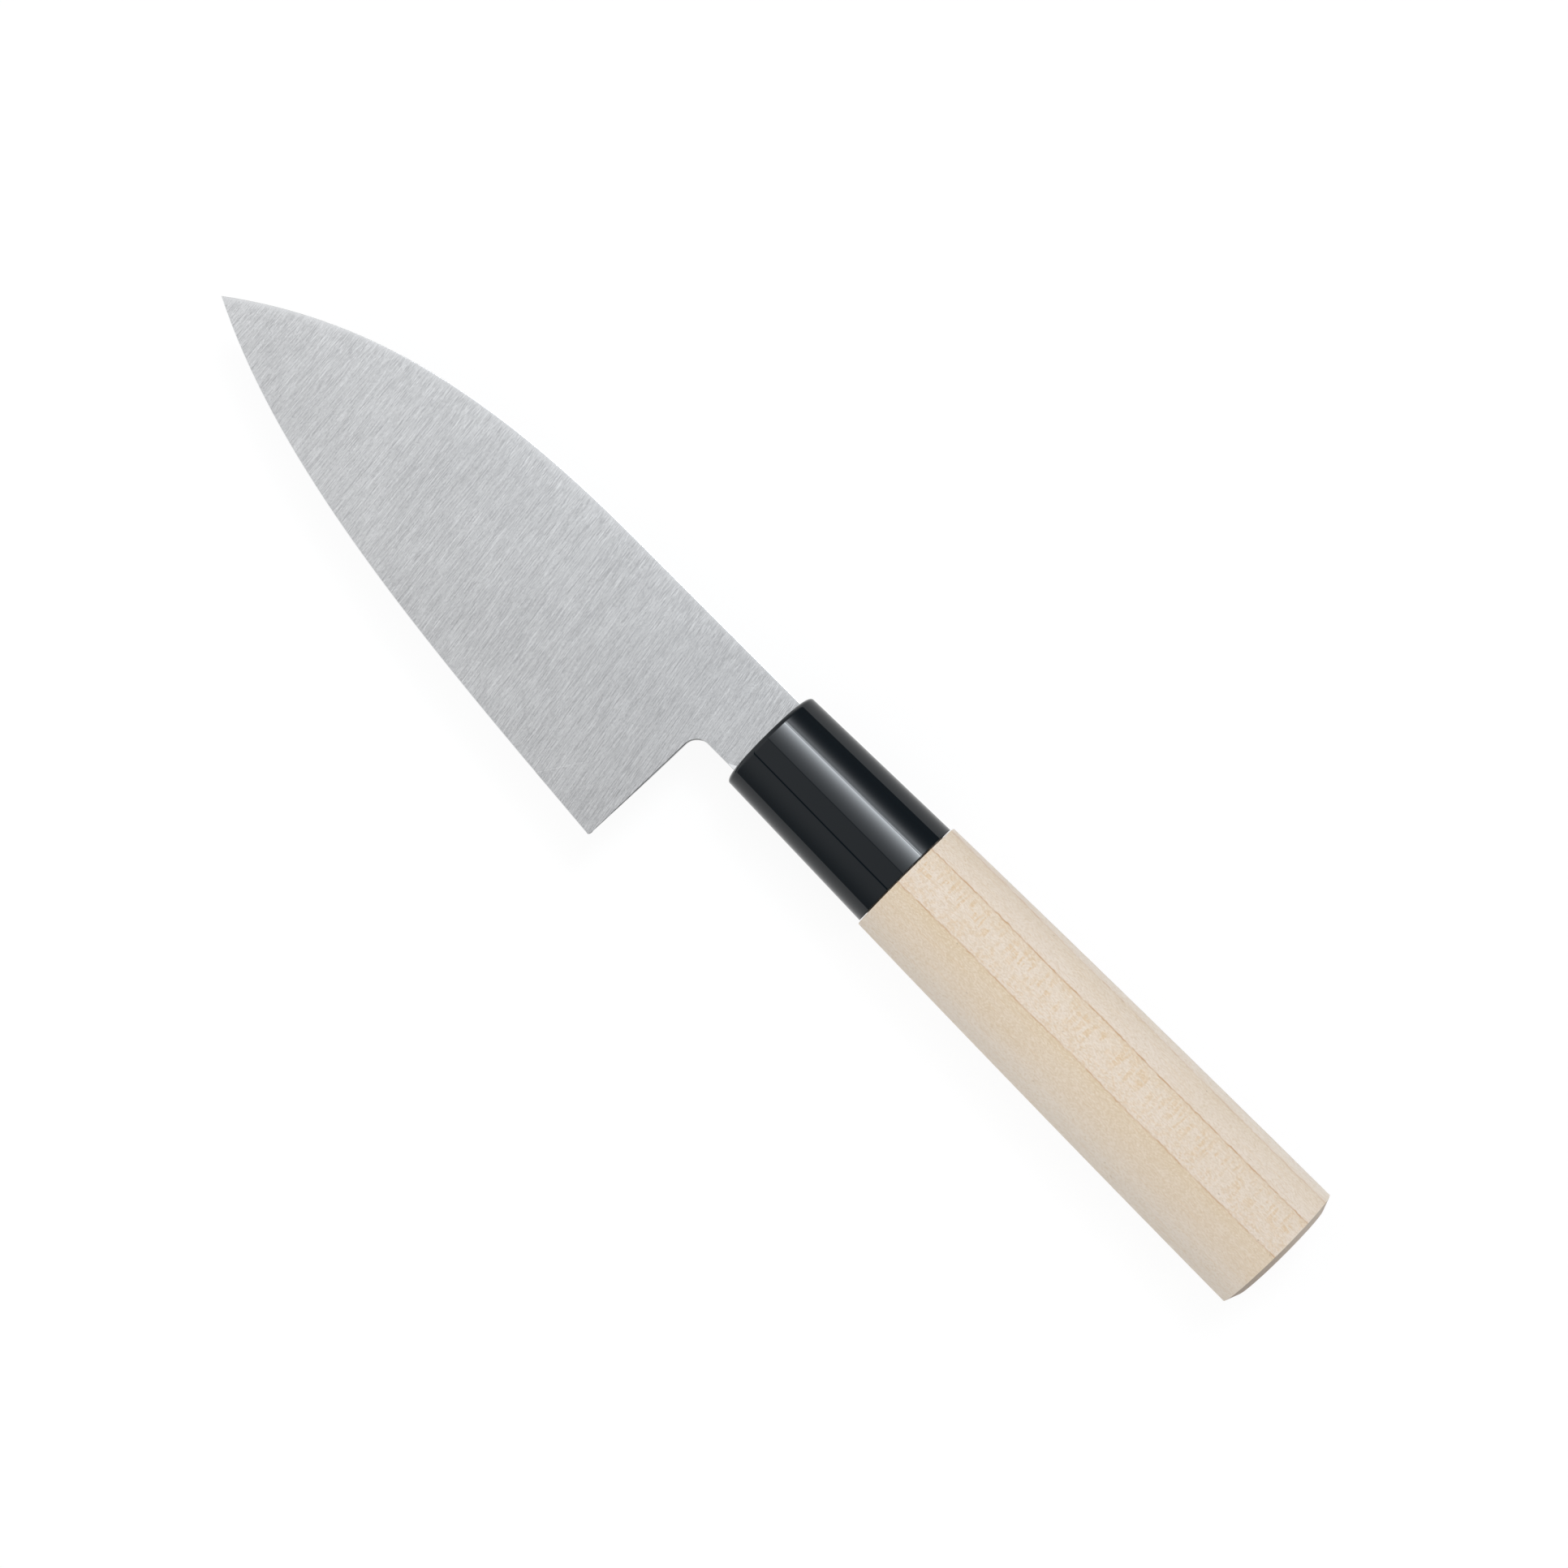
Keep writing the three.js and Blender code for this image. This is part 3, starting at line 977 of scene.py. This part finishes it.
@dataclass
class Ferrule:
    """Tapered oval cap with rounded ends, a bore for the tenon and a slot for the neck. Millimetres."""

    length: float
    front_height: float = 18.7
    flare: float = 1.55
    wall: float = 1.7
    front_wall: float = 3.0
    front_round: float = 0.8
    corner_inset: float = 1.6
    face_inset: float = 0.5
    rear_round: float = 0.12
    hold: float = 0.06
    round_steps: int = 10
    neck_height: float = 14.9
    sheet: float = 2.8
    fit: float = 0.12
    smooth_angle: float = 35.0
    oval: Oval = Oval()
    finish: GlossMoulding = GlossMoulding()

    def height(self, x: float) -> float:
        """The outer height at a place along the axis."""
        return self.front_height + self.flare * x / self.length

    def rings(self) -> list[Ring]:
        """The rings of the cap, over its outside and back through its bore.

        Returns:
            The rings.
        """
        rings = []
        quarter = [step / self.round_steps * math.pi / 2 for step in range(self.round_steps + 1)]
        for turn in quarter:
            x = self.front_round * (1.0 - math.cos(turn))
            outer = self.oval.ring(x, self.height(x))
            back = 1.0 - math.sin(turn)
            half_height = outer.half_height - self.corner_inset * back
            rings.append(Ring(x, half_height, outer.half_thickness - self.face_inset * back))
        for x in (self.front_round + self.hold, self.length / 2, self.length - self.rear_round - self.hold):
            rings.append(self.oval.ring(x, self.height(x)))
        for turn in quarter:
            x = self.length - self.rear_round * (1.0 - math.sin(turn))
            rings.append(self.oval.ring(x, self.height(x), self.rear_round * (1.0 - math.cos(turn))))
        rings.append(self.oval.ring(self.length, self.height(self.length), self.wall))
        rings.append(self.oval.ring(self.front_wall, self.height(self.front_wall), self.wall))
        return rings

    def build(self, origin: Vector) -> bpy.types.Object:
        """Models and dresses the ferrule.

        Args:
            origin: The middle of the ferrule's front, in metres.

        Returns:
            The ferrule.
        """
        piece = Bench.loft("ferrule_cap", self.rings(), origin, self.oval.segments)
        half = Vector((2 * self.front_wall, self.neck_height / 2 + self.fit, self.sheet / 2 + self.fit)) * MM
        Bench.cut(piece, Bench.block("neck_slot", origin - half, origin + half))
        Bench.smooth(piece, self.smooth_angle)
        Bench.dress(piece, Part.FERRULE, self.finish.make(origin))
        return piece


@dataclass
class Grip:
    """Oval wooden grip with a tenon, a blind socket and a bevelled, slightly domed butt. Millimetres."""

    front: float
    length: float
    front_height: float = 21.25
    flare: float = 2.2
    crown: float = 0.33
    gap: float = 0.22
    front_round: float = 0.15
    hold: float = 0.06
    tenon_x: float = 3.25
    tenon_inset: float = 1.95
    bevel_length: float = 0.95
    bevel_inset: float = 2.5
    bevel_corner: float = 0.03
    dome: float = 0.05
    dome_steps: int = 10
    round_steps: int = 4
    body_steps: int = 28
    socket_mouth: float = 2.0
    smooth_angle: float = 28.0
    oval: Oval = Oval()
    finish: MagnoliaWood = MagnoliaWood()

    def height(self, x: float) -> float:
        """The height at a place along the axis."""
        share = (x - self.front) / self.length
        return self.front_height + self.flare * share + 4 * self.crown * share * (1 - share)

    def rings(self, ferrule: Ferrule) -> list[Ring]:
        """The rings of the tenon, the grip and its butt.

        Args:
            ferrule: The ferrule that the tenon fits.

        Returns:
            The rings.
        """
        butt = self.front + self.length
        start = self.front + self.gap
        rings = [
            self.oval.ring(self.tenon_x, ferrule.height(self.tenon_x), self.tenon_inset),
            self.oval.ring(start, ferrule.height(start), self.tenon_inset),
        ]
        for step in range(self.round_steps + 1):
            turn = step / self.round_steps * math.pi / 2
            x = start + self.front_round * (1.0 - math.cos(turn))
            rings.append(self.oval.ring(x, self.height(x), self.front_round * (1.0 - math.sin(turn))))
        bevel_x = butt - self.dome - self.bevel_length
        body_x = start + self.front_round + self.hold
        rings.append(self.oval.ring(body_x, self.height(body_x)))
        for step in range(1, self.body_steps + 1):
            x = body_x + (bevel_x - body_x) * step / self.body_steps
            rings.append(self.oval.ring(x, self.height(x)))
        rings += self.butt_rings(butt, bevel_x)
        return rings

    def butt_rings(self, butt: float, bevel_x: float) -> list[Ring]:
        """The rings of the bevel and the dome.

        Args:
            butt: The butt's end along the axis.
            bevel_x: Where the bevel begins.

        Returns:
            The rings.
        """
        rings = []
        for share in (self.bevel_corner, 0.5, 1.0 - self.bevel_corner):
            x = bevel_x + self.bevel_length * share
            rings.append(self.oval.ring(x, self.height(butt), self.bevel_inset * share))
        depth = self.oval.ratio * self.height(butt) / 2 - self.bevel_inset
        rim = self.bevel_inset * (1.0 + self.bevel_corner)
        for step in range(self.dome_steps):
            share = step / self.dome_steps
            x = butt - self.dome * (1.0 - share) ** 2
            rings.append(self.oval.ring(x, self.height(butt), rim + share * depth))
        return rings

    def build(self, origin: Vector, ferrule: Ferrule) -> bpy.types.Object:
        """Models and dresses the grip.

        Args:
            origin: The middle of the ferrule's front, in metres.
            ferrule: The ferrule that the tenon fits.

        Returns:
            The grip.
        """
        piece = Bench.loft("grip", self.rings(ferrule), origin, self.oval.segments)
        low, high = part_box(Part.RESIN.value)
        margin = Vector((self.gap, self.gap, self.gap)) * MM
        mouth = Vector((self.socket_mouth * MM, 0.0, 0.0))
        Bench.cut(piece, Bench.block("tang_socket", low - margin - mouth, high + margin))
        Bench.smooth(piece, self.smooth_angle)
        front = origin + Vector((self.front * MM, 0.0, 0.0))
        Bench.dress(piece, Part.HANDLE, self.finish.make(front, self.length))
        return piece


@dataclass(frozen=True)
class Sky:
    """The studio's light: pale scrims overhead and a hot lamp strip on the spine's side.

    Angles are degrees from overhead, towards the spine where positive.
    """

    # Scrims overhead
    spine_scrim: float = 0.75
    spine_low: float = 0.20
    spine_fall: Span = (38.0, 56.0)
    edge_scrim: float = 0.74
    edge_low: float = 0.28
    edge_fall: Span = (-40.0, -90.0)
    overhead: Span = (-0.5, 0.1)
    fold_angle: float = -0.9
    fold_width: float = 0.55
    fold_depth: float = 0.50
    joint_angle: float = -33.2
    joint_width: float = 1.2
    tip_lift: float = 2.0
    level_x: float = -0.1
    lift_limits: Span = (0.6, 1.4)
    # Scrims at both ends
    end_scrim: float = 0.86
    end_lean: float = 0.45
    end_reach: Span = (0.35, 0.60)
    # Lamp strip
    seam_angle: float = 37.0
    seam_width: float = 0.6
    seam_depth: float = 0.75
    inner_glow: float = 18.6
    inner_fade: float = 9.8
    outer_glow: float = 3.2
    outer_start: float = 44.0
    outer_fade: float = 5.6
    upper_line: float = 20.0
    upper_angle: float = 38.4
    upper_width: float = 0.5
    lower_line: float = 12.0
    lower_angle: float = 35.6
    lower_width: float = 0.4
    strip_middle: float = -8.5
    strip_half: float = 7.5
    strip_fade: float = 3.0
    strip_tint: Colour = (0.940, 1.0, 1.06)

    def make(self) -> None:
        """Builds the world."""
        world = bpy.data.worlds.new("studio")
        world.use_nodes = True
        bpy.context.scene.world = world
        tree = ShaderTree(world.node_tree)
        x, y, z = tree.split(tree.node("ShaderNodeTexCoord", output="Generated"))
        angle = y.math("ARCTAN2", z) * DEGREES
        spine_side = angle.step(*self.overhead)
        scrims = {"Color": WHITE, "Strength": self._scrims(angle, spine_side, x, y)}
        strip = {"Color": (*self.strip_tint, 1.0), "Strength": self._strip(angle, spine_side, x)}
        lights = [tree.node("ShaderNodeBackground", inputs=inputs) for inputs in (scrims, strip)]
        tree.end("ShaderNodeOutputWorld", tree.node("ShaderNodeAddShader", inputs=dict(enumerate(lights))))

    def _scrims(self, angle: Value, spine_side: Value, x: Value, y: Value) -> Value:
        """The pale scrims overhead, with a fold and the dark joint between two sheets, and at both ends.

        Args:
            angle: The direction's angle from overhead.
            spine_side: One on the spine's side, zero on the edge's.
            x: The direction's part along the knife, towards the butt.
            y: The direction's part towards the spine.

        Returns:
            Their light.
        """
        spine = angle.step(*self.spine_fall) * (self.spine_low - self.spine_scrim) + self.spine_scrim
        edge = angle.step(*self.edge_fall) * (self.edge_low - self.edge_scrim) + self.edge_scrim
        edge = edge * (1.0 - angle.bell(self.joint_angle, self.joint_width))
        fold = 1.0 - angle.bell(self.fold_angle, self.fold_width) * self.fold_depth
        least, most = self.lift_limits
        lift = (1.0 - (x - self.level_x) * self.tip_lift).at_least(least).at_most(most)
        over = (spine * spine_side + edge * (1.0 - spine_side)) * fold * lift
        ends = abs(x).step(*self.end_reach)
        return over * (1.0 - ends) + ends * (1.0 - y * self.end_lean) * self.end_scrim

    def _strip(self, angle: Value, spine_side: Value, x: Value) -> Value:
        """The lamp strip: two bright lines beside a dark seam, fading to both sides.

        Args:
            angle: The direction's angle from overhead.
            spine_side: One on the spine's side, zero on the edge's.
            x: The direction's part along the knife, towards the butt.

        Returns:
            Its light.
        """
        past = angle > self.seam_angle
        inner = ((angle - self.seam_angle) * (1.0 / self.inner_fade)).at_most(0.0).exp() * self.inner_glow
        outer = ((self.outer_start - angle) * (1.0 / self.outer_fade)).at_most(0.0).exp() * self.outer_glow
        upper = angle.bell(self.upper_angle, self.upper_width) * self.upper_line
        lower = angle.bell(self.lower_angle, self.lower_width) * self.lower_line
        seam = 1.0 - angle.bell(self.seam_angle, self.seam_width) * self.seam_depth
        along = abs(x.math("ARCSINE") * DEGREES - self.strip_middle)
        reach = along.step(self.strip_half + self.strip_fade, self.strip_half)
        return (inner * (1.0 - past) * spine_side + outer * past + upper + lower) * seam * reach


@dataclass(frozen=True)
class Floor:
    """A plain pale floor that keeps the knife's shadow."""

    half: float = 30.0
    colour: Colour = (0.80, 0.80, 0.80)
    glow: float = 0.91
    shade: Colour = (0.10, 0.10, 0.10)

    def make(self) -> bpy.types.Object:
        """Builds the floor.

        Returns:
            The floor.
        """
        Bench.clear()
        bpy.ops.mesh.primitive_plane_add(size=2 * self.half)
        floor = bpy.context.object
        floor.name = "floor"
        material, tree = new_material("pale_floor")
        plain = tree.node("ShaderNodeBsdfDiffuse", inputs={"Color": (*self.colour, 1.0)})
        lit = tree.node("ShaderNodeEmission", inputs={"Color": WHITE, "Strength": self.glow})
        shaded = tree.node("ShaderNodeBsdfDiffuse", inputs={"Color": (*self.shade, 1.0)})
        seen = tree.node("ShaderNodeAddShader", inputs={0: lit, 1: shaded})
        camera = tree.node("ShaderNodeLightPath", output="Is Camera Ray")
        outputs = camera.socket.node.outputs
        glossy = Value(tree, outputs["Is Glossy Ray"])
        through = Value(tree, outputs["Is Transmission Ray"])
        share = (camera + glossy + through).at_most(1.0)
        surface = tree.node("ShaderNodeMixShader", inputs={0: share, 1: plain, 2: seen})
        tree.end("ShaderNodeOutputMaterial", surface)
        floor.data.materials.append(material)
        return floor


@dataclass(frozen=True)
class Camera:
    """The photograph's view: nearly square to the blade's flat back, from a little towards the butt."""

    target: Vector = Vector((7.0, -3.37, 0.25))
    towards_butt: float = 45.3
    distance: float = 640.0
    roll: float = 45.11
    lens: float = 93.19
    sensor: float = 36.0

    def make(self, origin: Vector) -> bpy.types.Object:
        """Builds the camera.

        Args:
            origin: The middle of the ferrule's front, in metres.

        Returns:
            The camera.
        """
        data = bpy.data.cameras.new("photo")
        data.lens = self.lens
        data.sensor_width = self.sensor
        camera = bpy.data.objects.new("photo", data)
        bpy.context.scene.collection.objects.link(camera)
        back = Vector((self.towards_butt, 0.0, self.distance)).normalized()
        level = Vector((self.distance, 0.0, -self.towards_butt)).normalized()
        spine = Vector((0.0, 1.0, 0.0))
        turn = math.radians(self.roll)
        right = level * math.cos(turn) + spine * math.sin(turn)
        up = spine * math.cos(turn) - level * math.sin(turn)
        place = origin + (self.target + Vector((self.towards_butt, 0.0, self.distance))) * MM
        rows = Matrix((right, up, back)).transposed().to_4x4()
        camera.matrix_world = Matrix.Translation(place) @ rows
        bpy.context.scene.camera = camera
        return camera


def main() -> None:
    """Builds the knife and its studio, and logs each piece's face count."""
    logging.basicConfig(level=logging.INFO)
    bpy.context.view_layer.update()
    bpy.context.scene.view_settings.view_transform = "Standard"
    handle_low, handle_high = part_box(Part.HANDLE.value)
    ferrule_low, ferrule_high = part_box(Part.FERRULE.value)
    axis = (handle_low + handle_high) / 2
    origin = Vector((ferrule_low.x, axis.y, axis.z))
    ferrule = Ferrule(length=(ferrule_high.x - ferrule_low.x) / MM)
    grip = Grip(front=ferrule.length, length=(handle_high.x - ferrule_high.x) / MM)
    Blade().build(origin.x)
    ferrule.build(origin)
    grip.build(origin, ferrule)
    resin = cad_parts[Part.RESIN.value]
    resin.data.materials.clear()
    resin.data.materials.append(SetResin().make(origin))
    Floor().make()
    Sky().make()
    Camera().make(origin)


if __name__ == "__main__":
    main()
